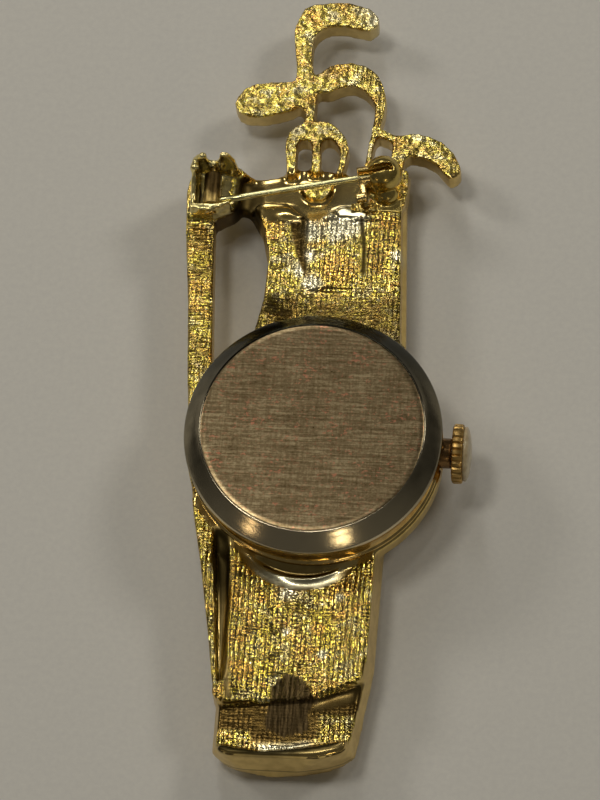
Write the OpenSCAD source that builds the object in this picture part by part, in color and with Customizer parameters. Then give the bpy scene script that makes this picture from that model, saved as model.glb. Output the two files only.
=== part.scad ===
// A brooch watch: a cast bag of clubs with a round watch set in its middle, lying on its front.
// Millimetres. X runs towards the crown, Y along the bag towards the clubs, Z up from the table.
// Outlines are drawn from the middle of the watch; placed() then sets the origin under the whole.

/* [Bag] */
// Height of the bag's back rim above the table
rim_z = 5; // [4:0.1:6]
// Height of the front of the bag's round body above the table
bag_front_z = 0.5; // [0.2:0.1:1]
// Radius of the bag's rounded front
bow_r = 17; // [12:1:40]
// Radius of the shallow hollow along the bag's back
hollow_r = 24; // [16:1:60]
// Depth of that hollow at its middle
hollow_depth = 0.6; // [0.2:0.1:1]
// Height of the floor of the bag's mouth
mouth_z = 3.2; // [2:0.1:4]
// Depth of the recess at the bag's base
base_recess = 0.9; // [0.3:0.1:1.5]
// Height that the tongue stands out of the back
tongue_step = 0.3; // [0.1:0.05:0.6]
// Floor of the groove between the strap and the bag
groove_z = 4.1; // [2.5:0.1:4.4]
// Slant of the base's left wall, degrees
base_slant = 14; // [0:1:20]
// Slant of the right walls of the lower bag and of the base, degrees
side_slant = 11; // [0:1:16]
// Slant of the base's end wall, degrees
end_slant = 6; // [0:1:12]
// Corner radius of the front pocket and bands
pocket_r = 1.2; // [0.5:0.1:2]

/* [Strap and clubs] */
// Height of the club's foot in the mouth
foot_step = 0.6; // [0.3:0.1:1]
// Height of the strap's back
strap_z = 4.6; // [4:0.1:5]
// Thickness of the strap
strap_thick = 2.4; // [1.5:0.1:3]
// Height of the clubs' backs
club_z = 4.2; // [3.5:0.1:5]
// Thickness of the clubs
club_thick = 2.2; // [1.5:0.1:3]

/* [Watch case] */
// Outer radius of the case back
back_r = 11; // [10.5:0.1:11.5]
// Radius of the flat disc on the case back
disc_r = 9.5; // [9:0.1:10]
// Height of the flat disc
disc_z = 9.4; // [9:0.1:10]
// Height of the case back's outer edge
edge_z = 8; // [7.5:0.1:8.5]
// Thickness of that edge
edge_thick = 0.3; // [0.2:0.05:0.5]
// Radius of the case's thin lip over the seat
lip_r = 10.85; // [10.5:0.05:11]
// Height of the underside of that lip
lip_z = 5.05; // [4.9:0.05:5.3]
// Thickness of that lip
lip_thick = 0.25; // [0.15:0.05:0.4]
// Radius of the case's body inside the seat
body_r = 9.75; // [9.5:0.05:10]
// Radius of the room for the movement
room_r = 9.2; // [8.8:0.05:9.4]
// Front of the bezel above the table
bezel_z = 1; // [0.8:0.1:1.5]
// Radius of the glass
glass_r = 8.9; // [8.5:0.05:9.2]
// Height of the glass's inner face
glass_z = 2; // [1.8:0.05:2.3]
// Height of the middle of the domed glass
glass_front_z = 0.55; // [0.4:0.05:1]
// Radius of the opening behind the glass
view_r = 8.3; // [8:0.05:8.6]
// Gap between fitted pieces
gap = 0.05; // [0.02:0.01:0.1]

/* [Dial and hands] */
// Front face of the dial
dial_z = 2.75; // [2.6:0.05:3]
// Thickness of the dial
dial_thick = 0.35; // [0.2:0.05:0.5]
// Height of the hour marks on the dial
mark_step = 0.08; // [0.04:0.02:0.12]
// Length of the hour marks
mark_length = 1.3; // [0.8:0.1:2]
// Width of the hour marks
mark_width = 0.35; // [0.2:0.05:0.6]
// Radius of the middle of the hour marks
mark_r = 6.9; // [6:0.1:7.5]
// Time shown by the hour hand, degrees clockwise from twelve
hour_angle = 304.5; // [0:0.5:360]
// Time shown by the minute hand, degrees clockwise from twelve
minute_angle = 54; // [0:1:360]
// Length of the hour hand
hour_length = 4.4; // [3:0.1:5]
// Length of the minute hand
minute_length = 6.4; // [5:0.1:7]
// Width of the hands
hand_width = 0.6; // [0.4:0.1:1]
// Thickness of the hands
hand_thick = 0.15; // [0.1:0.05:0.2]
// Front of the hour hand
hour_z = 2.35; // [2.3:0.05:2.5]
// Front of the minute hand
minute_z = 2.1; // [2.05:0.05:2.3]
// Radius of the hour hand's post
hour_post_r = 0.6; // [0.5:0.05:0.8]
// Radius of the minute hand's arbor
arbor_r = 0.35; // [0.3:0.05:0.4]
// Radius of the centre wheel on that arbor
wheel_r = 3.4; // [2.5:0.1:4]
// Front of the centre wheel
wheel_z = 6; // [5.6:0.1:6.2]
// Thickness of the centre wheel
wheel_thick = 0.5; // [0.3:0.05:0.6]
// Clearance of turning pieces
running = 0.04; // [0.02:0.01:0.08]

/* [Crown] */
// Height of the crown's axis
crown_z = 4.9; // [4.7:0.1:5.5]
// Radius of the crown
crown_r = 2.55; // [2.2:0.05:2.8]
// Inner face of the crown
crown_x = 11.75; // [11.6:0.05:12]
// Length of the crown's fluted part
crown_length = 1.15; // [0.9:0.05:1.4]
// Number of flutes
flutes = 28; // [20:2:40]
// Radius of a flute
flute_r = 0.17; // [0.1:0.01:0.25]
// Radius of the crown's cap
cap_r = 2.3; // [2:0.05:2.5]
// Length of the cap outside the crown
cap_length = 0.5; // [0.4:0.05:0.8]
// Depth of the cap's seat in the crown
cap_seat = 0.4; // [0.2:0.05:0.6]
// Radius of the dome of the cap
cap_dome_r = 6; // [4:0.5:10]
// Radius of the winding stem
stem_r = 0.45; // [0.35:0.05:0.6]
// Radius of the tube round the stem
tube_r = 1.3; // [1:0.05:1.5]
// Outer end of that tube
tube_x = 11.65; // [11.5:0.05:11.7]

/* [Pin] */
// Height of the pin's axis
pin_z = 6.2; // [5.8:0.1:6.8]
// Radius of the pin
pin_r = 0.28; // [0.2:0.01:0.35]
// Length from the hinge's axis to the tip
pin_length = 15.9; // [14:0.1:17]
// Length of the pin's point
point_length = 2.6; // [1:0.1:4]
// Radius of the pin's blunt tip
tip_r = 0.1; // [0.05:0.01:0.15]
// Direction of the pin, degrees from X
pin_turn = 12.5; // [8:0.5:16]
// Place of the hinge's axis along X
hinge_x = -10.6; // [-12:0.1:-9]
// Place of the hinge's axis along Y
hinge_y = 22.3; // [21:0.1:24]
// Radius of the pin's eye
eye_r = 0.75; // [0.6:0.05:0.9]
// Length of the pin's eye
eye_length = 3; // [1.5:0.1:3.65]
// Radius of the rivet through the eye
rivet_r = 0.32; // [0.25:0.01:0.4]
// Thickness of the hinge's walls
hinge_wall = 0.45; // [0.3:0.05:0.6]
// Outside width of the hinge
hinge_width = 4.6; // [3.5:0.1:5]
// Distance from the pin's axis to the front of the hinge
hinge_front = 0.85; // [0.8:0.05:1.3]
// Reach of the hinge behind the axis
hinge_heel = 1.85; // [1.6:0.05:2.4]
// Reach of the hinge ahead of the axis
hinge_toe = 2.1; // [1:0.1:2.4]
// Top of the hinge's front wall
hinge_front_z = 6.9; // [6.6:0.1:7.4]
// Top of the hinge's heel wall at its back end
hinge_heel_z = 7.5; // [7:0.1:8]
// Top of the hinge's tall back lobe
hinge_back_z = 8.6; // [8:0.1:9]
// Height of the pads below the hinge and the catch
pad_z = 4.9; // [4.6:0.1:5.1]

/* [Catch] */
// Distance from the hinge's axis to the catch
catch_u = 15.2; // [14:0.1:16]
// Radius of the catch's ball
ball_r = 1.65; // [1.5:0.05:1.8]
// Outer radius of the turning sleeve
sleeve_r = 0.95; // [0.8:0.05:1.1]
// Bore of the turning sleeve
sleeve_bore = 0.5; // [0.4:0.05:0.6]
// Width of the slot that the pin drops through
slot_width = 0.7; // [0.65:0.05:0.9]
// End of that slot beyond the middle of the ball
slot_end = 0.85; // [0.8:0.05:1]
// Length of the sleeve
sleeve_length = 3.2; // [2.5:0.1:3.6]
// Inner end of the sleeve beyond the middle of the ball
sleeve_end = 0.95; // [0.85:0.05:1.1]
// Reach of the sleeve's thumb tab from the axis
tab_reach = 2.1; // [1.8:0.1:2.6]
// Width of the thumb tab
tab_width = 0.9; // [0.6:0.1:1.2]
// Slant of the thumb tab below level, degrees
tab_slant = 8; // [0:1:40]

/* [Hidden] */
$fn = 96;
over = 1;
mouth_top_y = 27.3;
club_top_y = 43.5;
base_y = -28.4;
pad_left_x = -13;
crown_tip_x = crown_x + crown_length + cap_length;
mid_x = (crown_tip_x + pad_left_x) / 2;
mid_y = (club_top_y + base_y) / 2;
seat_r = body_r + gap;
seat_out_r = 11;
seat_low_z = 3.2;
seat_top_z = lip_z - gap;
band_top_z = edge_z - edge_thick - gap;
fillet_r = 12.3;
crystal_edge_z = 1.25;

// Back rim of the upper bag, with the dip of the mouth
upper_back = [
    [-7.1, 22.7], [-6, 20.8], [-5.3, 17.9], [-5.5, 13.7], [-6, 11.1], [-6.4, 8], [6.7, 8],
    [6.6, 11.3], [5.9, 23.8], [3.2, 23.4], [0.4, 23.2], [-0.3, 22.4], [-1.1, 21.8],
    [-2.2, 21.8], [-3.1, 22.3], [-3.9, 23.2], [-6.2, 23.2]
];
// Wider front of the upper bag, up to the far edge of the mouth
upper_front = [
    [-7.4, 22.6], [-6.2, 20.8], [-5.5, 17.9], [-5.7, 13.7], [-6.2, 11.1], [-6.6, 8], [7.1, 8],
    [7, 11.3], [6.3, 23.8], [6.4, 27], [2.6, 26.7], [1, 26.9], [0, 27.1], [-2.1, mouth_top_y],
    [-3.6, 27.1], [-4.3, 26.8], [-5.5, 26.3], [-7.5, 26.1], [-9, 26.6], [-10.4, 26.2],
    [-10.4, 22], [-8.9, 22.8]
];
// Tongue that hangs from the mouth down the back
tongue = [[-3.9, 21.9], [-2.9, 18.6], [-1.5, 15], [3.1, 15.6], [2.9, 19], [2.4, 22.7]];
// Lower bag with the strap's strip along its left
lower_bag = [
    [-10.2, -5], [-9.9, -6.7], [-9, -10.9], [-7.9, -17], [-7.2, -21.4], [-6.8, -23.1],
    [6.9, -23.1], [6.9, -5]
];
// Where the slanted right walls of the lower bag and the base meet the rim, and their turn
side_walls = [[5.6, -21, -0.8], [5.3, -21, -9]];
// Base of the bag at its front
base_front = [
    [-7.1, -22], [-7.3, -26], [-6.9, -27], [-6, -27.7], [-5, -28.1], [-3.4, -28.3],
    [-1.9, base_y], [0.4, -28.2], [2.7, -27.8], [4.1, -27.3], [5.1, -26.6], [6.2, -25.4],
    [6.9, -23], [6.9, -19]
];
// Recess in the back of the base, which runs out at its sides
base_hollow = [
    [-8, -23.6], [-6, -23.4], [-3.8, -23.1], [1.1, -22.5], [5.3, -20.9], [7, -20.3], [7, -25.7],
    [4.5, -26.2], [1, -27], [-2.7, -27.5], [-5.8, -27.1], [-8, -26.9]
];
// Groove between the strap's strip and the bag
groove = [
    [-8.1, -8], [-6.8, -8], [-6.4, -13.9], [-6.3, -18.2], [-6.3, -22.4], [-6.7, -22.4],
    [-7.1, -18.3], [-7.5, -13.9]
];
// Strap down the left side, running under the watch
strap_line = [
    [pad_left_x, 23.8], [-12.8, 20], [-12.1, 13.6], [-11.6, 6.9], [-10.9, 0], [-9.9, -6.7],
    [-8.2, -6.7], [-9, 2], [-9.6, 9.4], [-10, 15.6], [-10.4, 22.4]
];
// Pad below the hinge
hinge_pad = [
    [pad_left_x, 24], [-12.9, 21.9], [-12.5, 21.3], [-10.4, 21.15], [-8.8, 22], [-8.3, 22.6],
    [-8.3, 26.3], [-10, 27], [-11.6, 26.9], [-12.6, 25.9]
];
// Floor of the hinge, whose front turns back towards the mouth
hinge_floor = [
    [-12.45, 21.3], [-10.4, 21.15], [-8.8, 22], [-8.5, 22.4], [-8.5, 26.05], [-12.45, 26.05]
];
// Front wall of the hinge
hinge_front_wall = [
    [-12.45, 21.3], [-10.4, 21.15], [-8.8, 22], [-9, 22.25], [-10, 21.9], [-12.45, 21.9]
];
// Pad below the catch
catch_pad = [[2.5, 23.2], [6.2, 23.3], [6.4, 25], [6.3, 26.8], [2.8, 26.6], [2.3, 25]];
// Tall club whose head points right
club_a = [
    [-4.3, 35], [-4.3, 36.9], [-4.6, 38.9], [-4.8, 40.7], [-4.4, 41.9], [-4, 42.8], [-3.1, 43.3],
    [-1, club_top_y], [0.5, 43.4], [2, 42.9], [2.7, 42.1], [2.7, 41.3], [2, 40.7], [1.2, 40.8],
    [-0.3, 41.1], [-1.7, 41], [-2.5, 40.5], [-3, 39.6], [-3, 38.1], [-2.8, 36.4], [-2.4, 36.1],
    [-2.3, 33.6], [-3, 33.4]
];
// Club whose head points left
club_b = [
    [-9.5, 33], [-9.4, 33.6], [-8.8, 34.5], [-7.8, 35.1], [-6.4, 35.3], [-4.3, 35.5],
    [-2.8, 35.6], [-2.5, 33.8], [-3.7, 33.2], [-4.3, 32.6], [-5.4, 32.2], [-6.9, 31.8],
    [-8.3, 31.8], [-9.1, 32.2]
];
// Club whose head arches right and down
club_c = [
    [-2.6, 35.9], [-2.2, 36.4], [-1.5, 37], [-0.6, 37.4], [0.6, 37.5], [1.8, 37.3], [2.9, 36.5],
    [3.5, 35.4], [3.9, 33.9], [3.8, 32.6], [3.6, 31.6], [3.3, 30.6], [3.1, 29.7], [3, 28.6],
    [3, 26.5], [2.3, 26.5], [2.5, 28.9], [2.6, 29.7], [2.8, 31], [2.9, 32.2], [2.9, 33.3],
    [2.6, 34], [1.8, 34.8], [0.9, 35.2], [-0.1, 35], [-1.3, 34.4], [-2.5, 34.5]
];
// Club whose head points right and down, with its bar to the arching club
club_d = [
    [2.8, 31], [3.3, 31.2], [4.9, 30.5], [6.5, 30.7], [7.7, 30.6], [9, 30], [10.1, 29],
    [10.7, 27.9], [10.9, 27.1], [10.4, 26.5], [9.9, 26.4], [9.4, 26.9], [8.6, 27.8],
    [7.4, 28.4], [6.3, 28.5], [5.8, 28.1], [5.8, 26.5], [4.2, 26.5], [4.6, 28.3], [4.7, 29.8],
    [3.2, 30.4]
];
// Link from the tall club to the three prongs
link = [
    [-3.6, 33.8], [-2.3, 33.8], [-2.3, 32.6], [-2.6, 31.2], [-3.4, 31.1], [-3.1, 32.3],
    [-3.8, 33]
];
// Three prongs joined by an arch
arch = [
    [-4.4, 26.2], [-4.8, 29.4], [-4.5, 30.4], [-3.9, 31.1], [-2.3, 31.6], [-1.1, 31.6],
    [-0.2, 31], [0.6, 30], [0.9, 29], [0.75, 27.8], [0.45, 26.4], [-0.1, 26.4], [0.2, 28.3],
    [-0.1, 29.3], [-0.7, 29.9], [-1.3, 29.9], [-1.6, 29.4], [-1.5, 26.5], [-2.3, 26.5],
    [-2.4, 29.4], [-2.8, 29.7], [-3.3, 29.7], [-3.7, 29.4], [-3.6, 26.2]
];

// Origin under the middle of the whole
module placed() translate([-mid_x, -mid_y, 0]) children();

// Slab from one height to another
module slab(low, high) translate([0, 0, low]) linear_extrude(high - low) children();

// Cylinder along X, from one place to another
module along_x(x, length, r) translate([x, 0, 0]) rotate([0, 90, 0]) cylinder(h = length, r = r);

// Cylinder along Y
module along_y(y, length, r) translate([0, y, 0]) rotate([-90, 0, 0]) cylinder(h = length, r = r);

// Frame of the hinge: Y along its axis
module at_hinge() translate([hinge_x, hinge_y, pin_z]) children();

// Frame of the pin: X along it, Z up
module at_pin() at_hinge() rotate([0, 0, pin_turn]) children();

// Flat-fronted panel with round corners
module panel(x, y, wide, tall, low, high) slab(low, high) {
    translate([x + pocket_r, y]) square([wide - 2 * pocket_r, tall]);
    translate([x, y + pocket_r]) square([wide, tall - 2 * pocket_r]);
    for (i = [pocket_r, wide - pocket_r], j = [pocket_r, tall - pocket_r])
        translate([x + i, y + j]) circle(pocket_r);
}

// Bag's solid body before its back is worked
module bag_body() intersection() {
    union() {
        slab(0, mouth_z) polygon(upper_front);
        slab(mouth_z - over, rim_z) polygon(upper_back);
        slab(0, rim_z) polygon(lower_bag);
        base_block();
    }
    translate([-0.3, 0, bow_r + bag_front_z])
        along_y(base_y - over, mouth_top_y - base_y + 2 * over, bow_r);
}

// Base with slanted walls
module base_block() difference() {
    slab(0, rim_z) polygon(base_front);
    translate([base_front[1][0] + 0.1, base_y, 1]) rotate([0, base_slant, 0])
        translate([-5, -over, 0]) cube([5, -base_y - 21.6, 6]);
    translate([0, base_y + 0.1, 1]) rotate([-end_slant, 0, 0])
        translate([-10, -5, 0]) cube([20, 5, 6]);
}

// Hollow along the back, and the tongue left standing in it
module back_hollow() difference() {
    translate([-0.3, 0, rim_z - hollow_depth + hollow_r])
        along_y(-23.1, 45, hollow_r);
    slab(rim_z - hollow_depth, rim_z - hollow_depth + tongue_step) polygon(tongue);
    slab(0, rim_z) translate([-10, 22.6]) square([20, 5]);
}

// What is cut off along the slanted right walls
module side_cuts() for (wall = side_walls)
    translate([wall[0], wall[1], rim_z]) rotate([0, 0, wall[2]]) rotate([0, -side_slant, 0])
        translate([0, -16, -8]) cube([6, 36, 16]);

module bag() {
    difference() {
        bag_blank();
        side_cuts();
    }
    panel(-4.2, -22.2, 7.6, 9.8, 0, 2);
    panel(-4.4, -27.3, 8, 3.9, 0, 2);
    panel(-4.4, 18, 8.2, 5.4, 0, 2);
}

module bag_blank() {
    difference() {
        bag_body();
        back_hollow();
        slab(rim_z - base_recess, rim_z + over) polygon(base_hollow);
        slab(groove_z, rim_z + over) polygon(groove);
    }
    intersection() {
        slab(0, rim_z) union() {
            polygon(upper_front);
            polygon(lower_bag);
        }
        rotate_extrude() polygon([
            [seat_r, seat_low_z], [fillet_r, seat_low_z], [fillet_r, 4.4], [fillet_r - 0.7, 4.5],
            [seat_out_r, 4.75], [lip_r, seat_top_z], [seat_r, seat_top_z]
        ]);
    }
}

module seat_ring() translate([0, 0, seat_low_z])
    cylinder(h = seat_top_z - seat_low_z, r = seat_out_r);

module strap() slab(strap_z - strap_thick, strap_z) polygon(strap_line);

module clubs() {
    slab(club_z - club_thick, club_z) {
        polygon(club_a);
        polygon(club_b);
        polygon(club_c);
        polygon(club_d);
        polygon(link);
        polygon(arch);
    }
    slab(mouth_z - over, mouth_z + foot_step) difference() {
        translate([-1.7, 25.4]) circle(1.3);
        translate([-5, 25.6]) square(5);
    }
    slab(mouth_z - over, pad_z) polygon(catch_pad);
}

// Side of the hinge's back wall: a small lobe, a notch, a tall lobe and a slope to the mouth
module back_wall_side() polygon([
    [0, mouth_z - pin_z], [0, 0.9], [0.4, 1.7], [0.85, hinge_back_z - 0.4 - pin_z], [1.25, 1.6],
    [1.5, 0.7], [2.1, 0.7], [2.35, 1.3], [2.5, hinge_back_z - pin_z],
    [3.2, hinge_back_z - pin_z], [3.75, 1.1], [hinge_heel + hinge_toe, -0.5],
    [5.2, mouth_z + 0.3 - pin_z], [5.2, mouth_z - pin_z]
]);

// Side of the hinge's heel wall, which falls towards the front
module heel_wall_side() polygon([
    [0, pad_z - hinge_wall - pin_z], [0, 0.1], [1.4, 0.1], [2.7, 0.6],
    [3.5, hinge_heel_z - 0.1 - pin_z], [4, hinge_heel_z - pin_z],
    [hinge_width, hinge_heel_z - 0.2 - pin_z], [hinge_width, pad_z - hinge_wall - pin_z]
]);

// Box hinge: base, front wall, heel wall and back wall
module hinge_box() {
    slab(strap_z - strap_thick, pad_z) polygon(hinge_pad);
    slab(pad_z - hinge_wall, pad_z + 0.2) polygon(hinge_floor);
    slab(pad_z - hinge_wall, hinge_front_z) polygon(hinge_front_wall);
    at_hinge() translate([-hinge_heel, -hinge_front, 0]) rotate([90, 0, 90])
        linear_extrude(hinge_wall) heel_wall_side();
    at_hinge() translate([-hinge_heel, hinge_width - hinge_front, 0]) rotate([90, 0, 0])
        linear_extrude(hinge_wall) back_wall_side();
}

// Ball of the catch on its foot, and the bead of solder beside it
module catch_ball() {
    at_pin() translate([catch_u, 0, 0]) sphere(ball_r);
    at_pin() translate([catch_u, 0, pad_z - 0.3 - pin_z]) cylinder(h = 1.1, r = ball_r - 0.15);
    translate([4.55, 24.25, pad_z + 0.05]) sphere(1.1);
}

// What is cut for the pin: the rivet's hole, the sleeve's bore, its slot, and the tab's room
module pin_cuts() {
    at_hinge() along_y(-hinge_front - over, hinge_width + 2 * over, rivet_r + 0.02);
    at_pin() {
        along_x(catch_u - ball_r - over, ball_r + over + sleeve_end + gap, sleeve_r + running);
        translate([catch_u - ball_r - over, -slot_width / 2, 0])
            cube([ball_r + over + slot_end, slot_width, ball_r + over]);
    }
}

module casting() color("Goldenrod") placed() difference() {
    union() {
        bag();
        strap();
        seat_ring();
        clubs();
        hinge_box();
        catch_ball();
    }
    translate([0, 0, -over]) cylinder(h = rim_z + 2 * over, r = seat_r);
    translate([0, 0, seat_top_z]) cylinder(h = over, r = lip_r + 2 * gap);
    translate([0, 0, crown_z]) along_x(seat_r - over, 5, tube_r + 2 * gap);
    pin_cuts();
}

module case_middle() color("Gold") placed() difference() {
    union() {
        rotate_extrude() polygon([
            [view_r, bezel_z + over], [glass_r + gap, bezel_z], [body_r, bezel_z],
            [body_r, lip_z], [lip_r, lip_z], [lip_r, lip_z + lip_thick],
            [lip_r - 0.2, lip_z + lip_thick + 0.1], [lip_r + 0.05, band_top_z],
            [room_r, band_top_z], [room_r, dial_z], [view_r, dial_z]
        ]);
        translate([0, 0, crown_z]) along_x(room_r + 0.4, tube_x - room_r - 0.4, tube_r);
    }
    translate([0, 0, bezel_z - over]) cylinder(h = glass_z + over - bezel_z, r = glass_r + gap);
    translate([0, 0, crown_z]) along_x(room_r - over, 5, stem_r + running);
    translate([0, 0, band_top_z - 0.5]) cylinder(h = over, r = room_r + 0.6);
}

module case_back() color("Silver") placed() rotate_extrude() polygon([
    [0, band_top_z - 0.4], [room_r + 0.55, band_top_z - 0.4], [room_r + 0.55, band_top_z + gap],
    [back_r, band_top_z + gap], [back_r, edge_z], [disc_r + 0.1, disc_z - 0.08],
    [disc_r, disc_z], [0, disc_z]
]);

module crystal() color("LightCyan", 0.4) placed() intersection() {
    translate([0, 0, glass_front_z]) cylinder(h = glass_z - glass_front_z - gap, r = glass_r);
    dome_over(glass_r, crystal_edge_z - glass_front_z, glass_front_z);
}

// Large ball whose lowest point lies at a height, and that reaches a rise at a radius
module dome_over(r, rise, low) translate([0, 0, low + (r * r + rise * rise) / (2 * rise)])
    sphere((r * r + rise * rise) / (2 * rise), $fn = 180);

module dial() color("Ivory") placed() difference() {
    union() {
        translate([0, 0, dial_z + gap]) cylinder(h = dial_thick, r = room_r - gap);
        for (hour = [0:11]) rotate([0, 0, 30 * hour])
            translate([-mark_width / 2, mark_r - mark_length / 2, dial_z + gap - mark_step])
                cube([mark_width, mark_length, mark_step + gap]);
    }
    cylinder(h = rim_z, r = hour_post_r + 2 * gap);
}

module movement() color("Silver") placed() difference() {
    union() {
        translate([0, 0, dial_z + dial_thick + 2 * gap])
            cylinder(h = band_top_z - 0.5 - dial_z - dial_thick - 2 * gap, r = room_r - gap);
        translate([0, 0, hour_z]) cylinder(h = over, r = hour_post_r);
    }
    cylinder(h = wheel_z, r = arbor_r + running);
    translate([0, 0, wheel_z - gap]) cylinder(h = 2 * over, r = wheel_r + 2 * gap);
    translate([0, 0, crown_z]) along_x(6.9, 5, stem_r + running);
}

// Hand at an angle clockwise from twelve, as seen from the front
module hand(angle, length, z, hole) translate([0, 0, z]) rotate([0, 0, angle]) difference() {
    union() {
        cylinder(h = hand_thick, r = hole + 0.45);
        linear_extrude(hand_thick) polygon([
            [-hand_width / 2, 1], [-hand_width / 3, -length * 0.7], [0, -length],
            [hand_width / 3, -length * 0.7], [hand_width / 2, 1]
        ]);
    }
    translate([0, 0, -over]) cylinder(h = 3 * over, r = hole + running);
}

module hour_hand() color("DimGray") placed()
    hand(hour_angle, hour_length, hour_z, hour_post_r);

module minute_hand() color("DimGray") placed()
    hand(minute_angle, minute_length, minute_z, arbor_r);

module centre_arbor() color("Gold") placed() {
    translate([0, 0, minute_z - 0.03]) cylinder(h = wheel_z - minute_z + 0.1, r = arbor_r);
    translate([0, 0, wheel_z]) cylinder(h = wheel_thick, r = wheel_r);
}

module winding_stem() color("Silver") placed()
    translate([0, 0, crown_z]) along_x(7.2, crown_x + 0.6 - 7.2, stem_r);

module crown() color("Gold") placed() translate([0, 0, crown_z]) difference() {
    along_x(crown_x, crown_length, crown_r);
    for (i = [1:flutes]) rotate([360 * i / flutes, 0, 0]) translate([0, 0, crown_r + 0.05])
        along_x(crown_x - over, crown_length + 2 * over, flute_r, $fn = 24);
    along_x(crown_x - over, over + 0.62, stem_r + 0.02);
    along_x(crown_x + crown_length - cap_seat, over, cap_r - 0.25);
}

module crown_cap() color("Ivory") placed() translate([0, 0, crown_z]) {
    along_x(crown_x + crown_length - cap_seat + gap, cap_seat, cap_r - 0.3);
    intersection() {
        along_x(crown_x + crown_length + 0.02, cap_length, cap_r);
        translate([crown_tip_x - cap_dome_r, 0, 0]) rotate([0, 90, 0]) sphere(cap_dome_r);
    }
}

module pin_stem() color("Gold") placed() difference() {
    union() {
        at_hinge() along_y(-hinge_front + hinge_wall + gap, eye_length, eye_r);
        at_pin() along_x(0, pin_length - point_length, pin_r);
        at_pin() translate([pin_length - point_length, 0, 0]) rotate([0, 90, 0])
            cylinder(h = point_length, r1 = pin_r, r2 = tip_r);
    }
    at_hinge() along_y(-hinge_front - over, hinge_width + 2 * over, rivet_r + running);
}

module hinge_rivet() color("Gold") placed() at_hinge()
    along_y(-hinge_front - 0.3, hinge_width + 0.45, rivet_r);

module catch_sleeve() color("Gold") placed() at_pin() translate([catch_u, 0, 0]) {
    difference() {
        union() {
            along_x(sleeve_end - sleeve_length, sleeve_length, sleeve_r);
            rotate([-tab_slant, 0, 0]) translate([-ball_r - 0.55, -tab_reach, -0.35])
                cube([0.5, tab_reach, 0.7]);
            rotate([-tab_slant, 0, 0]) translate([-ball_r - 0.6 - tab_width / 2, -tab_reach, 0])
                rotate([0, 90, 0]) cylinder(h = tab_width, r = 0.45);
        }
        along_x(-sleeve_length - over, 2 * sleeve_length, sleeve_bore);
        translate([-sleeve_length - over, -slot_width / 2, 0])
            cube([2 * sleeve_length, slot_width, sleeve_r + over]);
    }
}

casting();
case_middle();
case_back();
crystal();
dial();
movement();
hour_hand();
minute_hand();
centre_arbor();
winding_stem();
crown();
crown_cap();
pin_stem();
hinge_rivet();
catch_sleeve();
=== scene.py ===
import math

import bpy
import numpy as np
from mathutils import Matrix, Vector


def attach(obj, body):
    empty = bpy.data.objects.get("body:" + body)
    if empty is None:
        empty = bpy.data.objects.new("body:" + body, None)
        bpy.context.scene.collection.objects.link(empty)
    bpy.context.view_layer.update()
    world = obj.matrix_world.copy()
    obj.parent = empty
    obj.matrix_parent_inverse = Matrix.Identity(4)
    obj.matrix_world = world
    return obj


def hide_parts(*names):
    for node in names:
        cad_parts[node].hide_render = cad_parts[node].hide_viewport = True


# A brooch watch lying on its front: a cast bag of clubs with a round watch in its middle.
# Sizes are in millimetres from the middle of the watch, with Y along the bag towards the
# clubs and Z up from the table. spot() turns them into the frame's metres.
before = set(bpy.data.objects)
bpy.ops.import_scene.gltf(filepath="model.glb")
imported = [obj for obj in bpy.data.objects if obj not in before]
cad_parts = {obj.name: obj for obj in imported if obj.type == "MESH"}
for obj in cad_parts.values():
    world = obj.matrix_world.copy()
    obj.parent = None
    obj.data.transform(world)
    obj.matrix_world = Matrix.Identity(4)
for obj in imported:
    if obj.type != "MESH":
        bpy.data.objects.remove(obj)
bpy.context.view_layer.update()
scene = bpy.context.scene

MM = 0.001
WATCH_X, WATCH_Y = -0.2, -7.55   # the watch's middle in the frame
HINGE = (-10.6, 22.3, 6.2)       # where the pin's axis meets its rivet
PIN_TURN = math.radians(12.5)    # how far the closed pin slopes across the bag
CROWN_Z = 4.9                    # height of the stem's axis


def spot(x, y, z):
    """A place in mm from the watch's middle, as a place in the frame."""
    return Vector(((x + WATCH_X) * MM, (y + WATCH_Y) * MM, z * MM))


# ---- Camera: at the photograph's angle ----

AZIMUTH, ELEVATION, ROLL = math.radians(12), math.radians(66), math.radians(8.6)
FOCAL_PX, LONG_PX, SHORT_PX = 4790.0, 800, 600
DISTANCE = 0.406
AIM_PX = (313.0, 433.5)   # where the middle of the case back shows in the picture
AIM_Z = 8
SENSOR_MM = 36


def photo_camera():
    """Looks from the photograph's angle, turned and shifted until the watch fits it."""
    back = Vector((math.sin(AZIMUTH) * math.cos(ELEVATION),
                   -math.cos(AZIMUTH) * math.cos(ELEVATION), math.sin(ELEVATION)))
    level = (-back).cross(Vector((0, 0, 1))).normalized()
    upward = level.cross(-back)
    right = math.cos(ROLL) * level - math.sin(ROLL) * upward
    up = math.sin(ROLL) * level + math.cos(ROLL) * upward
    across = (AIM_PX[0] - SHORT_PX / 2) / FOCAL_PX
    rise = -(AIM_PX[1] - LONG_PX / 2) / FOCAL_PX
    data = bpy.data.cameras.new("camera")
    data.sensor_width = SENSOR_MM
    data.lens = FOCAL_PX / LONG_PX * data.sensor_width
    camera = bpy.data.objects.new("camera", data)
    scene.collection.objects.link(camera)
    camera.matrix_world = Matrix((right, up, back)).transposed().to_4x4()
    camera.location = spot(0, 0, AIM_Z) - (-back + across * right + rise * up) * DISTANCE
    scene.camera = camera


photo_camera()


# ---- Hand tools ----

MERGE = 1e-7   # vertices closer than this, in metres, become one


def let_go():
    """Object mode, with nothing selected."""
    if bpy.context.object and bpy.context.object.mode != "OBJECT":
        bpy.ops.object.mode_set(mode="OBJECT")
    bpy.ops.object.select_all(action="DESELECT")


def take(piece):
    """Makes a piece the only one that tools work on."""
    let_go()
    bpy.context.view_layer.objects.active = piece
    piece.select_set(True)


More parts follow.
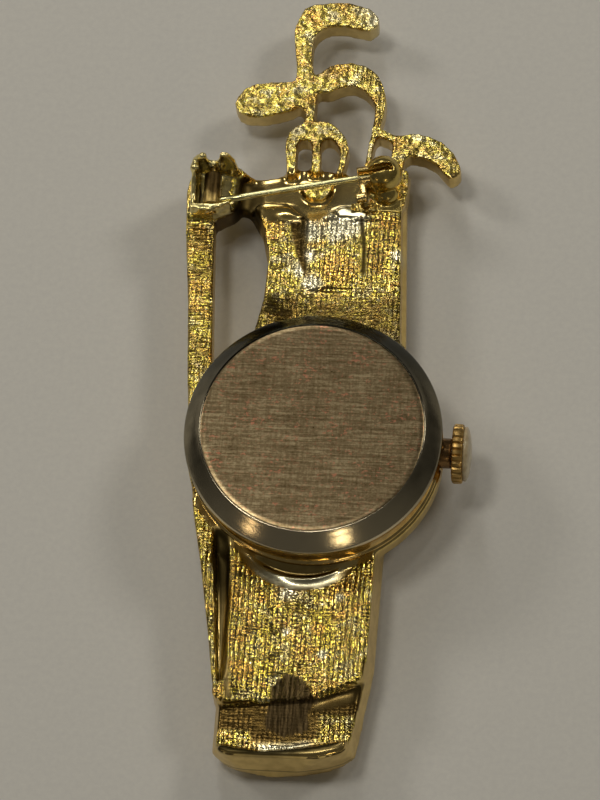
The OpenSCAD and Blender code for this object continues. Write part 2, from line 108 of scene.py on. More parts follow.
def work(piece, kind, **settings):
    """A modifier with these settings, applied."""
    take(piece)
    modifier = piece.modifiers.new(kind.lower(), kind)
    for key, value in settings.items():
        setattr(modifier, key, value)
    bpy.ops.object.modifier_apply(modifier=modifier.name)


def named(name):
    """Names the piece that was just added."""
    piece = bpy.context.object
    piece.name = piece.data.name = name
    return piece


def fixed(piece, place, turn=(0, 0, 0)):
    """Sets a piece down and puts its place into its mesh."""
    take(piece)
    piece.location = place
    piece.rotation_euler = turn
    bpy.ops.object.transform_apply(location=True, rotation=True, scale=True)
    return piece


def smoothed(piece, degrees=40):
    """Smooth shading, except over edges that are sharper than an angle."""
    take(piece)
    bpy.ops.object.shade_smooth_by_angle(angle=math.radians(degrees))


def softened(piece, width, degrees=28):
    """Rounds the edges that are sharper than an angle."""
    work(piece, "BEVEL", width=width * MM, segments=3, limit_method="ANGLE",
         angle_limit=math.radians(degrees))
    smoothed(piece)


def merged(piece, outward=False):
    """Joins vertices that lie on each other, and turns the faces outward if asked."""
    take(piece)
    bpy.ops.object.mode_set(mode="EDIT")
    bpy.ops.mesh.select_all(action="SELECT")
    bpy.ops.mesh.remove_doubles(threshold=MERGE)
    if outward:
        bpy.ops.mesh.normals_make_consistent(inside=False)
    bpy.ops.object.mode_set(mode="OBJECT")
    return piece


def choose(piece, chosen):
    """Selects the vertices marked True, and leaves edit mode on."""
    take(piece)
    bpy.ops.object.mode_set(mode="EDIT")
    bpy.ops.mesh.select_mode(type="VERT")
    bpy.ops.mesh.select_all(action="DESELECT")
    bpy.ops.object.mode_set(mode="OBJECT")
    piece.data.vertices.foreach_set("select", chosen)
    bpy.ops.object.mode_set(mode="EDIT")


def pick(piece, test):
    """Selects the vertices whose place, in mm, passes a test, and leaves edit mode on."""
    choose(piece, [bool(test(vertex.co / MM)) for vertex in piece.data.vertices])


def turned(name, profile, steps=96, ring=False):
    """Turned about Z: a circle is extruded and scaled along (radius, height) pairs.
    A ring is bridged back to its start, and anything else is capped."""
    let_go()
    radius, height = profile[0]
    bpy.ops.mesh.primitive_circle_add(vertices=steps, radius=radius * MM,
                                      location=(0, 0, height * MM))
    piece = fixed(named(name), (0, 0, height * MM))
    bpy.ops.object.mode_set(mode="EDIT")
    bpy.ops.mesh.select_mode(type="VERT")
    bpy.ops.mesh.select_all(action="SELECT")
    for new_radius, new_height in profile[1:]:
        bpy.ops.mesh.extrude_region_move(
            TRANSFORM_OT_translate={"value": (0, 0, (new_height - height) * MM)})
        grow = new_radius / radius
        bpy.ops.transform.resize(value=(grow, grow, 1), center_override=(0, 0, 0))
        radius, height = new_radius, new_height
    bpy.ops.object.mode_set(mode="OBJECT")
    count = len(piece.data.vertices)
    first = [i < steps for i in range(count)]
    last = [i >= count - steps for i in range(count)]
    if ring:
        choose(piece, [one or other for one, other in zip(first, last)])
        bpy.ops.mesh.bridge_edge_loops()
    else:
        for end in (first, last):
            choose(piece, end)
            bpy.ops.mesh.edge_face_add()
    bpy.ops.object.mode_set(mode="OBJECT")
    return merged(piece, outward=True)


def solid_copy(node, name):
    """A merged copy of a CAD node's mesh, which is itself left alone."""
    piece = bpy.data.objects.new(name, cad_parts[node].data.copy())
    piece.data.name = name
    piece.data.materials.clear()
    scene.collection.objects.link(piece)
    return merged(piece)


def block(low, high):
    """A plain block between two corners, in mm, to cut with."""
    let_go()
    middle = [(a + b) / 2 for a, b in zip(low, high)]
    bpy.ops.mesh.primitive_cube_add(size=1, location=spot(*middle))
    piece = bpy.context.object
    piece.scale = [(b - a) * MM for a, b in zip(low, high)]
    bpy.ops.object.transform_apply(location=True, rotation=True, scale=True)
    return piece


def cut(piece, low, high, operation="DIFFERENCE"):
    """Cuts a block out of a piece, or keeps only what lies in the block."""
    cutter = block(low, high)
    work(piece, "BOOLEAN", object=cutter, operation=operation, solver="EXACT")
    bpy.data.objects.remove(cutter)
    return piece


def recast(piece, voxel, passes):
    """Melts the edges, as casting and polishing do: an even mesh, then smoothing."""
    work(piece, "REMESH", mode="VOXEL", voxel_size=voxel * MM, use_smooth_shade=True)
    work(piece, "SMOOTH", factor=0.5, iterations=passes)
    return piece


def ripple(piece, group, depth, size, direction="Z"):
    """Raises and lowers a piece by clouds whose cells have this size along X, Y and Z."""
    pattern = bpy.data.textures.new("pattern", "CLOUDS")
    pattern.noise_scale = 1.0
    pattern.noise_depth = 1
    grid = bpy.data.objects.new("grid", None)
    scene.collection.objects.link(grid)
    grid.scale = [s * MM for s in size]
    bpy.context.view_layer.update()
    work(piece, "DISPLACE", texture=pattern, texture_coords="OBJECT",
         texture_coords_object=grid, strength=depth * MM, mid_level=0.5,
         direction=direction, vertex_group=group)
    bpy.data.objects.remove(grid)
    bpy.data.textures.remove(pattern)


def swell(piece, group, weights, height, direction="Z"):
    """Raises a piece where the weights are, or lowers it by a negative height."""
    weigh(piece, group, weights)
    work(piece, "DISPLACE", strength=height * MM, mid_level=0, direction=direction,
         vertex_group=group)


def ramp(value, low, high):
    """0 below low, 1 above high, smooth between."""
    t = np.clip((value - low) / (high - low), 0, 1)
    return t * t * (3 - 2 * t)


def skin(piece):
    """Places in mm from the watch's middle, and normals, one row for each vertex."""
    count = len(piece.data.vertices)
    place, facing = np.empty(count * 3, np.float32), np.empty(count * 3, np.float32)
    piece.data.vertices.foreach_get("co", place)
    piece.data.vertices.foreach_get("normal", facing)
    place = place.reshape(-1, 3) / MM - (WATCH_X, WATCH_Y, 0)
    return place, facing.reshape(-1, 3)


def weigh(piece, name, weights):
    """A vertex group of the vertices that weigh more than next to nothing."""
    group = piece.vertex_groups.new(name=name)
    for i in np.nonzero(weights > 0.01)[0]:
        group.add([int(i)], float(weights[i]), "REPLACE")


# ---- Finishes ----

class Reading:
    """A socket that plain arithmetic can be done on; each step adds its Math node."""

    def __init__(self, finish, socket):
        self.finish, self.socket = finish, socket

    def math(self, operation, *values):
        return self.finish.node("Math", {"operation": operation}, dict(enumerate(values)))

    def __add__(self, other):
        return self.math("ADD", self, other)

    def __sub__(self, other):
        return self.math("SUBTRACT", self, other)

    def __rsub__(self, other):
        return self.math("SUBTRACT", other, self)

    def __mul__(self, other):
        return self.math("MULTIPLY", self, other)

    def __truediv__(self, other):
        return self.math("DIVIDE", self, other)

    __radd__ = __add__

    def clear(self, low, high):
        """0 below low, 1 above high, smooth between."""
        return self.finish.node("MapRange", {"interpolation_type": "SMOOTHSTEP"},
                                {"Value": self, "From Min": low, "From Max": high})


class Finish:
    """A material on Object coordinates, read in mm from the watch's middle."""

    def __init__(self, name, **constants):
        self.material = bpy.data.materials.new(name)
        self.material.use_nodes = True
        self.tree = self.material.node_tree
        self.shader = self.tree.nodes["Principled BSDF"]
        for key, value in constants.items():
            self.shader.inputs[key.replace("_", " ")].default_value = value
        where = self.node("TexCoord", out="Object")
        self.place = self.node("VectorMath", {"operation": "MULTIPLY_ADD"},
                               {0: where, 1: (1 / MM,) * 3, 2: (-WATCH_X, -WATCH_Y, 0)})

    def node(self, kind, settings=None, values=None, out=0):
        """A new node with these settings and inputs; gives a reading of one output."""
        node = self.tree.nodes.new("ShaderNode" + kind)
        for key, value in (settings or {}).items():
            if key == "stops":
                for _ in value[2:]:
                    node.color_ramp.elements.new(0.5)
                for stop, (at, colour) in zip(node.color_ramp.elements, value):
                    stop.position, stop.color = at, (*colour, 1)
            else:
                setattr(node, key, value)
        for key, value in (values or {}).items():
            self.feed(node.inputs[key], value)
        return Reading(self, node.outputs[out])

    def feed(self, socket, value):
        """Links a reading to an input, or sets a plain value on it."""
        if isinstance(value, Reading):
            self.tree.links.new(value.socket, socket)
        elif isinstance(value, tuple) and socket.type == "RGBA":
            socket.default_value = (*value, 1)
        else:
            socket.default_value = value

    def axis(self, letter):
        """X, Y or Z in mm from the watch's middle."""
        return self.node("SeparateXYZ", values={0: self.place}, out=letter)

    def cloud(self, size, detail=2, rough=0.5, shift=(0, 0, 0)):
        """Noise whose cells have this size in mm along X, Y and Z."""
        scaled = self.node("VectorMath", {"operation": "MULTIPLY_ADD"},
                           {0: self.place, 1: tuple(1 / s for s in size), 2: shift})
        return self.node("TexNoise", values={"Vector": scaled, "Scale": 1.0, "Detail": detail,
                                             "Roughness": rough})

    def bands(self, letter, pitch, wobble):
        """Lines that follow each other along an axis at a pitch in mm."""
        return self.node("TexWave", {"bands_direction": letter}, {
            "Vector": self.place, "Scale": math.tau / 20 / pitch, "Distortion": wobble,
            "Detail": 2.0, "Detail Scale": 1.3, "Detail Roughness": 0.6}, out="Fac")

    def tint(self, value, *stops):
        """A colour ramp over a value, from pairs of a position and a colour."""
        return self.node("ValToRGB", {"stops": stops}, {0: value})

    def mix(self, factor, one, other):
        """From one colour to another as the factor goes from 0 to 1."""
        return self.node("Mix", {"data_type": "RGBA"}, {0: factor, 6: one, 7: other}, out=2)

    def relief(self, height, depth):
        """Bumps of a depth in mm where the height goes from 0 to 1."""
        return self.node("Bump", values={"Height": height, "Distance": depth * MM,
                                         "Strength": 1.0})

    def mark(self, name, out="Fac"):
        """One of the mesh's own attributes."""
        return self.node("Attribute", {"attribute_name": name}, out=out)

    def marks(self, name):
        """Red, green, blue and alpha of one of the mesh's own colour attributes."""
        split = self.node("SeparateColor", values={0: self.mark(name, "Color")})
        channels = [Reading(self, socket) for socket in split.socket.node.outputs]
        return (*channels, self.mark(name, "Alpha"))

    def use(self, **values):
        """Feeds the shader's inputs, and gives the finished material."""
        for key, value in values.items():
            self.feed(self.shader.inputs[key.replace("_", " ")], value)
        return self.material


GOLD = (0.93, 0.70, 0.24)
# Painted shade for the valleys of the brushing.
VALLEY_SHADE = (0.14, 0.09, 0.02)
GOLD_LEMON = (0.98, 0.81, 0.08)
GOLD_PALE = (0.98, 0.90, 0.50)
# White gold, also the colour of painted highlights.
WHITE_GOLD_AND_HIGHLIGHT = (0.98, 0.91, 0.62)
GOLD_ORANGE = (0.98, 0.52, 0.10)
GOLD_BROWN = (0.34, 0.22, 0.06)
# Grey gold, the colour of painted sheen and highlights on smooth parts.
GREY_GOLD_AND_SHEEN = (0.56, 0.54, 0.38)
FLECK_RED = (1.0, 0.40, 0.26)
FLECK_WHITE = (0.95, 0.96, 0.90)
# Tarnish, also used as painted shade.
TARNISH_AND_SHADE = (0.105, 0.066, 0.018)
# Painted shade for the slot, the steps and the dark lines.
PAINTED_SHADE = (0.028, 0.022, 0.008)
SEAM_Z, SEAM_Y = 1.9, -26.6   # the mould's seam runs round the bag's base


def cast_gold():
    """Gold plate over a rough cast and brushed back, with the old staining near its base, and
    painted shade and painted highlights in its colour.
    """
    f = Finish("cast_gold", Metallic=1.0)
    upright, level, lumpy, tarnish_and_shade = f.marks("work")
    pale_and_highlight, orange, lemon, shade = f.marks("hue")
    total = upright + level + lumpy
    worked = total.clear(0.05, 0.6)

    # Brushed lines both ways, which cross in places, and chips where the cast is lumpy.
    across = f.cloud((2.0, 1.3, 2.0), 2, 0.5, (7, 3, 0)).clear(0.54, 0.62)
    along = f.cloud((1.4, 1.7, 2.0), 2, 0.5, (2, 6, 0)).clear(0.44, 0.56)
    beads = f.cloud((0.42, 0.21, 0.4), 1, 0.5, (3, 1, 0)).clear(0.36, 0.6)
    dashes = f.cloud((0.7, 0.26, 0.4), 1, 0.5, (0, 5, 0)).clear(0.36, 0.6)
    strokes = f.cloud((0.2, 2.4, 0.8), 2, 0.6)
    rows = f.cloud((2.0, 0.18, 0.8), 2, 0.6, (0, 5, 0))
    combed = f.bands("X", 0.42, 1.5) * (0.25 + beads * 0.75) + strokes * 0.6 - 0.3
    barred = f.bands("Y", 0.31, 2.6) * (0.25 + dashes * 0.6) + rows * 0.9 - 0.45
    lumps = f.cloud((0.62, 0.55, 0.62), 3, 0.55, (1, 2, 3))
    chips = (lumps - 0.33) * 1.7 + f.bands("DIAGONAL", 0.42, 3.0) * 0.22
    peel = f.cloud((0.9, 0.9, 0.9), 2, 0.5)
    surface = ((upright * (1 - across * 0.8) + level * along * 0.7) * combed
               + (level * (1 - along * 0.6) + upright * across * 0.8) * barred + lumpy * chips)

    # Patches and sparks of other golds, worn spots, white on the paler patches and the painted
    # highlights, and olive painted shade in the valleys.
    patch = f.cloud((1.7, 1.3, 1.3), 3, 0.6, (4, 4, 4))
    fleck = f.cloud((0.2, 0.2, 0.2), 1, 0.5, (9, 2, 1))
    worn = f.cloud((2.4, 2.0, 2.4), 2, 0.5, (6, 1, 2))
    worked_gold = f.tint(patch, (0.38, GOLD_ORANGE), (0.45, GOLD), (0.54, GOLD_LEMON),
                         (0.62, GOLD_PALE))
    for spots, gold in ((lemon, GOLD_LEMON), (orange, GOLD_ORANGE)):
        worked_gold = f.mix((spots * 1.5 + patch - 0.5).clear(0.2, 0.9), worked_gold, gold)
    flecks = f.tint(fleck, (0.30, FLECK_RED), (0.38, GOLD), (0.60, GOLD_LEMON),
                    (0.70, FLECK_WHITE))
    worked_gold = f.mix(0.48, worked_gold, flecks)
    worked_gold = f.mix((1 - worn.clear(0.38, 0.54)) * (0.5 - upright * 0.3), worked_gold,
                        GOLD_BROWN)
    # White gold on the paler patches, and a painted highlight along the rim at the bag's base.
    worked_gold = f.mix((pale_and_highlight * 1.1 + (patch - 0.5) * 1.4).clear(0.1, 0.95), worked_gold,
                        WHITE_GOLD_AND_HIGHLIGHT)
    # Painted shade: olive darkens the valleys of the brushed lines and chips, by how deep each
    # kind is worked.
    valley_shade = 1 - (surface / (total + 0.05)).clear(0.05, 0.42)
    depth = (upright * 0.95 + level * 0.88 + lumpy * 0.72) / (total + 0.05)
    worked_gold = f.mix(valley_shade * depth * (1 - pale_and_highlight * 0.6), worked_gold, VALLEY_SHADE)
    plain_gold = f.tint(peel, (0.35, (0.66, 0.48, 0.17)), (0.65, (0.80, 0.60, 0.23)))
    # Painted sheen and highlights on smooth parts: the crescent below the lip and the right
    # lobe at the bag's mouth.
    plain_gold = f.mix(pale_and_highlight * 0.85, plain_gold, GREY_GOLD_AND_SHEEN)
    colour = f.mix(worked, plain_gold, worked_gold)

    # Tarnish with painted shade, the old staining with painted shade on the rim's end wall,
    # painted shade in the slot and along dark lines, and the mould's seam.
    # Tarnish, with painted shade under the rim, beside the hinge, along the tongue, in the
    # slot, on the step and the catch's side, and in the dip below the lip.
    tarnish_and_shade_amount = (tarnish_and_shade * (0.75 + patch * 0.5)).clear(0.0, 1.0)
    colour = f.mix(tarnish_and_shade_amount, colour, TARNISH_AND_SHADE)
    edge = f.cloud((0.3, 0.8, 0.5), 3, 0.65, (2, 8, 0))
    # The old staining, with painted shade on the rim's end wall.
    stain = (f.mark("stain") + (edge - 0.5) * 1.5 + (strokes - 0.5) * 0.9).clear(0.3, 0.8)
    colour = f.mix(stain * 0.97, colour, f.tint(strokes, (0.4, (0.03, 0.02, 0.008)),
                                                (0.6, (0.10, 0.068, 0.03))))
    # Painted shade in the slot, on the step and the catch's side, and along the rim's top and
    # the tongue's right side.
    colour = f.mix(shade * 0.98, colour, PAINTED_SHADE)
    seam = f.node("Math", {"operation": "ABSOLUTE"}, {0: f.axis("Z") - SEAM_Z})
    seam = (1 - seam.clear(0.03, 0.14)) * (1 - f.axis("Y").clear(SEAM_Y - 0.3, SEAM_Y))
    colour = f.mix(seam * 0.6, colour, TARNISH_AND_SHADE)

    rough = (0.15 + worked * 0.03 + (fleck - 0.5) * worked * 0.2 + stain * 0.2
             + lumpy * 0.1 + level * 0.02 + tarnish_and_shade_amount * 0.08 + shade * 0.3
             + f.mark("satin") * 0.17)
    height = surface * (1 - pale_and_highlight * 0.35) + peel * (0.05 + worked * 0.1)
    return f.use(Base_Color=colour, Roughness=rough, Normal=f.relief(height, 0.075))


SHADE_DEPTH = 0.8


def polished_gold(name, base, rough, floor=-1):
    """Polished plate, with painted shade just above its floor's height in mm."""
    f = Finish(name, Metallic=1.0)
    haze = f.cloud((0.8, 0.8, 0.8), 3, 0.6)
    pits = f.cloud((0.14, 0.14, 0.14), 2, 0.6, (2, 2, 2))
    deep = tuple(c * 0.72 for c in base)
    colour = f.tint(haze, (0.35, deep), (0.62, base))
    floor_shade = 1 - f.axis("Z").clear(floor, floor + SHADE_DEPTH)
    colour = f.mix(floor_shade * 0.6, colour, TARNISH_AND_SHADE)
    return f.use(Base_Color=colour, Roughness=rough + (haze - 0.5) * 0.16 + pits * 0.05,
                 Normal=f.relief(haze * 0.6 + pits * 0.1, 0.03))


def shaded_eye_gold():
    """Plate of the pin's eye, painted dark as shade inside the hinge's box, and worn bright
    again at its front end.
    """
    f = Finish("shaded_eye_gold", Metallic=1.0)
    haze = f.cloud((0.8, 0.8, 0.8), 3, 0.6)
    smear = f.cloud((0.5, 0.9, 0.5), 3, 0.6, (3, 1, 4))
    worn = 1 - (f.axis("Y") - (smear - 0.5) * 2.0).clear(22.1, 23.3)
    # Painted shade: the eye is nearly black inside the box.
    colour = f.tint(haze, (0.35, (0.05, 0.032, 0.011)), (0.62, (0.09, 0.058, 0.02)))
    colour = f.mix(worn * 0.8, colour, (0.62, 0.45, 0.16))
    return f.use(Base_Color=colour, Roughness=0.42 + (haze - 0.5) * 0.16,
                 Normal=f.relief(haze * 0.6 + smear * 0.6, 0.05))


def brushed_steel():
    """Case back's disc: fine level brushing, mottled, with warm specks."""
    f = Finish("brushed_steel", Metallic=1.0)
    lines = f.cloud((3.0, 0.17, 1), 2, 0.6)
    threads = f.cloud((0.18, 2.2, 1), 2, 0.6, (4, 0, 0))
    grain = f.cloud((0.26, 0.17, 1), 2, 0.7, (5, 3, 0))
    mottle = f.cloud((3.0, 2.4, 2), 3, 0.6, (1, 7, 0))
    warm = f.cloud((0.34, 0.22, 1), 2, 0.6, (8, 1, 0))
    colour = f.tint(lines * 0.4 + grain * 0.3 + threads * 0.15 + mottle * 0.15,
                    (0.38, (0.15, 0.108, 0.052)), (0.5, (0.27, 0.20, 0.105)),
                    (0.62, (0.48, 0.385, 0.22)))
    blush = f.cloud((2.0, 1.6, 1), 2, 0.5, (3, 9, 0)).clear(0.45, 0.6)
    colour = f.mix(warm.clear(0.57, 0.66) * (0.15 + blush * 0.5), colour, (0.70, 0.27, 0.16))
    return f.use(Base_Color=colour, Roughness=0.3 + (grain - 0.5) * 0.1,
                 Normal=f.relief(lines + grain * 0.6, 0.005))


def bevel_steel():
    """Polished steel that mirrors the room, with a painted reflection too: dark towards the
    clubs, bright at the base.
    """
    f = Finish("bevel_steel", Metallic=1.0)
    haze = f.cloud((1.6, 1.6, 1.6), 3, 0.6)
    pits = f.cloud((0.12, 0.12, 0.12), 2, 0.7, (3, 3, 3))
    colour = f.tint(haze, (0.35, (0.20, 0.175, 0.12)), (0.65, (0.31, 0.27, 0.19)))
    # Painted reflection: the bevel is darkened towards the clubs.
    colour = f.mix(f.axis("Y").clear(0, 8) * 0.97, colour, (0.022, 0.022, 0.014))
    # Painted reflection: the bevel is lightened towards the bag's base.
    colour = f.mix((1 - f.axis("Y").clear(-9, -3)) * 0.75, colour, (0.86, 0.74, 0.50))
    return f.use(Base_Color=colour, Roughness=0.14 + (haze - 0.5) * 0.08 + pits * 0.06,
                 Normal=f.relief(haze * 0.4 + pits * 0.2, 0.02))


def ivory():
    f = Finish("ivory_cap", Roughness=0.3, Coat_Weight=0.3, Subsurface_Weight=0.1,
               Subsurface_Scale=0.001)
    cloudy = f.cloud((0.9, 0.7, 0.9), 3, 0.6)
    colour = f.tint(cloudy, (0.35, (0.40, 0.31, 0.16)), (0.65, (0.58, 0.48, 0.29)))
    return f.use(Base_Color=colour, Normal=f.relief(cloudy, 0.02))


def clear_glass():
    f = Finish("clear_glass", Roughness=0.02, IOR=1.5, Transmission_Weight=1.0)
    wipe = f.cloud((3, 3, 3), 2, 0.5)
    return f.use(Base_Color=f.tint(wipe, (0.3, (0.93, 0.95, 0.94)), (0.7, (0.98, 0.99, 0.98))))


def dial_paint():
    """Satin dial with a fine grain; its raised hour marks are gold."""
    f = Finish("dial_paint")
    grain = f.cloud((0.3, 0.3, 0.3), 3, 0.6)
    raised = 1 - f.axis("Z").clear(2.765, 2.79)
    face = f.tint(grain, (0.3, (0.74, 0.71, 0.62)), (0.7, (0.86, 0.83, 0.75)))
    return f.use(Base_Color=f.mix(raised, face, GOLD_PALE), Metallic=raised,
                 Roughness=0.42 - raised * 0.2 + (grain - 0.5) * 0.1)


def plain_metal(name, base, rough):
    """Metal with fine turned lines, for the parts inside."""
    f = Finish(name, Metallic=1.0)
    lines = f.cloud((0.5, 0.06, 0.5), 3, 0.6)
    colour = f.tint(lines, (0.3, tuple(c * 0.8 for c in base)), (0.7, base))
    return f.use(Base_Color=colour, Roughness=rough + (lines - 0.5) * 0.15,
                 Normal=f.relief(lines, 0.01))


def black_paint():
    f = Finish("black_paint", Coat_Weight=0.4)
    grain = f.cloud((0.2, 0.2, 0.2), 2, 0.6)
    colour = f.tint(grain, (0.3, (0.015, 0.015, 0.016)), (0.7, (0.03, 0.03, 0.032)))
    return f.use(Base_Color=colour, Roughness=0.25 + (grain - 0.5) * 0.1)


def pale_floor():
    f = Finish("pale_floor")
    grain = f.cloud((0.5, 0.5, 0.5), 3, 0.6)
    colour = f.tint(grain, (0.3, (0.70, 0.69, 0.65)), (0.7, (0.75, 0.74, 0.69)))
    return f.use(Base_Color=colour, Roughness=0.9 + (grain - 0.5) * 0.1)


CAST_GOLD = cast_gold()
# The hinge's box has painted shade low down, just above its floor.
HINGE_GOLD = polished_gold("hinge_gold", (0.98, 0.84, 0.38), 0.22, floor=4.6)
FITTING_GOLD = polished_gold("fitting_gold", (0.66, 0.50, 0.15), 0.2)
CASE_GOLD = polished_gold("case_gold", (0.88, 0.63, 0.24), 0.13)
# The crown's tube is painted dark, as shade.
SHADED_TUBE_GOLD = polished_gold("shaded_tube_gold", (0.26, 0.15, 0.06), 0.25)
CROWN_GOLD = polished_gold("crown_gold", (0.56, 0.36, 0.12), 0.34)
PIN_GOLD = polished_gold("pin_gold", (0.99, 0.93, 0.48), 0.22)
POLISHED_GOLD = polished_gold("polished_gold", (0.84, 0.63, 0.25), 0.14)
SHADED_EYE_GOLD = shaded_eye_gold()
BRUSHED_STEEL, BEVEL_STEEL = brushed_steel(), bevel_steel()
WATCH_STEEL = plain_metal("watch_steel", (0.58, 0.56, 0.52), 0.3)
WATCH_BRASS = plain_metal("watch_brass", (0.74, 0.58, 0.28), 0.3)
HAND_BLACK = black_paint()


def dressed(piece, material, body, node, *more):
    """Materials, body, and the replaced CAD node, which is hidden."""
    piece.data.materials.clear()
    for one in (material, *more):
        piece.data.materials.append(one)
    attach(piece, body)
    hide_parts(node)


# ---- Casting: bag, strap, ring and clubs ----

RING_R = 11.2
CAST_ANGLE = 80   # edges of the cast pieces up to this many degrees are shaded smooth
# The hinge and the catch are cut off above their pads, to be melted on their own.
HINGE_PLOT = ((-14, 20.4), (-7, 28))
CATCH_PLOT = ((1.5, 22.6), (8, 28))
PAD_Z, FITTING_Z, TOP_Z = 4.92, 4.93, 12
SINK = 0.3   # how far a fitting is then set into its pad

# Outlines on the cast back, seen from above.
STAIN = [
    (-0.9, -20.3), (0, -20.5), (0.7, -21.1), (1.2, -21.9), (1.8, -22.5), (1.3, -23.3),
    (1.0, -24.2), (1.3, -25.2), (0, -25.7), (-0.8, -26), (-2.4, -25.4), (-2.5, -24.4),
    (-2.2, -22.8), (-2.1, -21.5), (-1.6, -20.8)
]
TONGUE = [(-3.9, 22.4), (-2.9, 18.6), (-1.5, 15), (3.1, 15.6), (2.9, 19), (2.4, 22.7)]
LEFT_OF_SLOT = [(-8.1, -5), (-14, -5), (-14, -25), (-6.9, -25), (-7.5, -13.9)]
SLOT = [(-8.0, -7.8), (-6.8, -7.8), (-6.4, -13.4), (-6.2, -18), (-5.5, -22.9), (-5.9, -23),
        (-6.8, -18), (-7.3, -13.4)]
SILL = [(1.3, -22.5), (3.5, -21.9), (5.4, -20.8), (7, -20.2), (7, -22.6), (5.1, -22.6),
        (2.9, -23.3), (1.4, -23.6)]
CATCH_SIDE = [(1.9, 23.4), (2.9, 23.6), (2.9, 25.8), (2.0, 25.8)]
TOE = [(-2.1, 14.5), (3.4, 15.1), (3.3, 16.1), (-2.0, 15.5)]
STEP = [(-8.8, 21.2), (-6.2, 21.2), (-6.2, 25.5), (-8.8, 25.5)]
LOBES = ([(-7.5, 22.9), (-3.7, 23.4), (-2.8, 22.5), (-3, 21.4), (-5.7, 21.2), (-6.8, 22)],
         [(-0.2, 23.2), (3.3, 23.9), (3.6, 22.4), (0.5, 21.5)])


def depth_in(place, outline):
    """Distance in mm from each vertex to an outline, positive inside it."""
    x, y = place[:, 0], place[:, 1]
    inside = np.zeros(len(x), bool)
    near = np.full(len(x), 99.0)
    for (x0, y0), (x1, y1) in zip(outline, outline[1:] + outline[:1]):
        wide, tall = x1 - x0, y1 - y0
        along = np.clip(((x - x0) * wide + (y - y0) * tall) / (wide ** 2 + tall ** 2), 0, 1)
        near = np.minimum(near, np.hypot(x - x0 - along * wide, y - y0 - along * tall))
        if tall:
            inside ^= ((y0 > y) != (y1 > y)) & (x < wide * (y - y0) / tall + x0)
    return np.where(inside, near, -near)


def within(place, outline, low, high):
    """0 outside an outline, 1 inside it, smooth between two depths in mm."""
    return ramp(depth_in(place, outline), low, high)


def crest(x):
    """Radius at which the dip below the watch's lip ends."""
    return RING_R + 1.5 * np.sqrt(np.clip(1 - ((x + 0.9) / 4.8) ** 2, 0, 1))


def rim_y(x):
    """Y of the foot of the plain rim at the bag's base."""
    return -26.9 + 0.025 * (x + 2.7) ** 2


def glint(x):
    """Where along the rim's foot a bright, smooth strip runs."""
    return ramp(x, -3.9, -3.2) * (1 - ramp(x, 1.6, 2.6))


